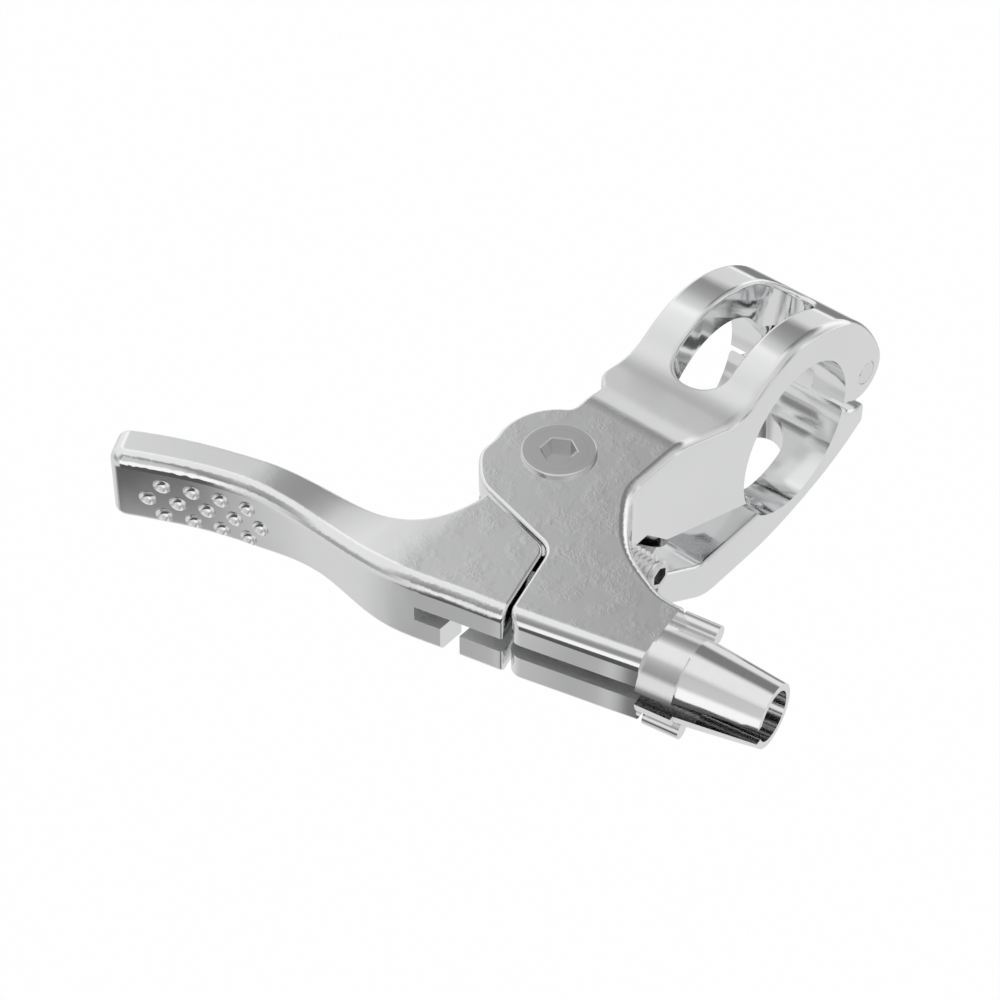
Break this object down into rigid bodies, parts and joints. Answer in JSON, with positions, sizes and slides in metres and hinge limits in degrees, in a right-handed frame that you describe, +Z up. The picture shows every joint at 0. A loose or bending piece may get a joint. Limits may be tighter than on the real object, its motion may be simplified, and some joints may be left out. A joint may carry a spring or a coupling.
{
  "type": "bicycle brake lever",
  "caption": "Short bicycle brake lever with a hinged handlebar clamp, a dimpled finger blade, and a slotted barrel adjuster with its lock ring.",
  "frame": {"origin": "centre of the handlebar bore, at half the clamp's width", "axes": "+X along the handlebar towards the cable adjuster, +Y from the blade towards the handlebar's far side, +Z up, square to the top plate"},
  "size_m": [0.0874, 0.0902, 0.0333],
  "materials": {
    "body": "polished",
    "blade": "polished",
    "clamp": "polished",
    "adjuster": "polished",
    "ring": "polished",
    "pivot_bolt": "satin",
    "pivot_nut": "satin",
    "washer": "satin",
    "bush": "satin",
    "screw": "satin",
    "pin": "satin",
    "bolt": "satin"
  },
  "bodies": {
    "perch": {"body": "body", "pivot_bolt": "pivot_bolt", "pivot_nut": "pivot_nut", "hinge_pin": "pin"},
    "blade": {"lever_blade": "blade", "pivot_bush": "bush", "upper_washer": "washer", "lower_washer": "washer"},
    "reach": {"reach_screw": "screw"},
    "clamp": {"clamp_half": "clamp"},
    "bolt": {"clamp_bolt": "bolt"},
    "adjuster": {"cable_adjuster": "adjuster"},
    "ring": {"lock_ring": "ring"}
  },
  "joints": [
    {"name": "lever_pivot", "type": "hinge", "parent": "perch", "child": "blade", "pos_m": [-0.0017, -0.0354, 0.011], "axis": [0, 0, 1], "range_deg": [-35, 0]},
    {"name": "clamp_hinge", "type": "hinge", "parent": "perch", "child": "clamp", "pos_m": [0, 0.0159, 0.0006], "axis": [1, 0, 0], "range_deg": [0, 3]},
    {"name": "clamp_bolt_slide", "type": "slide", "parent": "perch", "child": "bolt", "axis": [0, 0, -1], "range_m": [0, 0.0021]},
    {"name": "adjuster_slide", "type": "slide", "parent": "perch", "child": "adjuster", "axis": [0.989, 0.1478, 0], "range_m": [0, 0.004]},
    {"name": "lock_ring_spin", "type": "hinge", "parent": "perch", "child": "ring", "pos_m": [0.02872, -0.0514, 0.0106], "axis": [0.989, 0.1478, 0], "continuous": true},
    {"name": "reach_screw_slide", "type": "slide", "parent": "perch", "child": "reach", "axis": [1, 0, 0], "range_m": [0, 0.002]}
  ],
  "couplings": [
    {"joint": "clamp_bolt_slide", "follows": "clamp_hinge", "m_per_rad": 0.04}
  ]
}
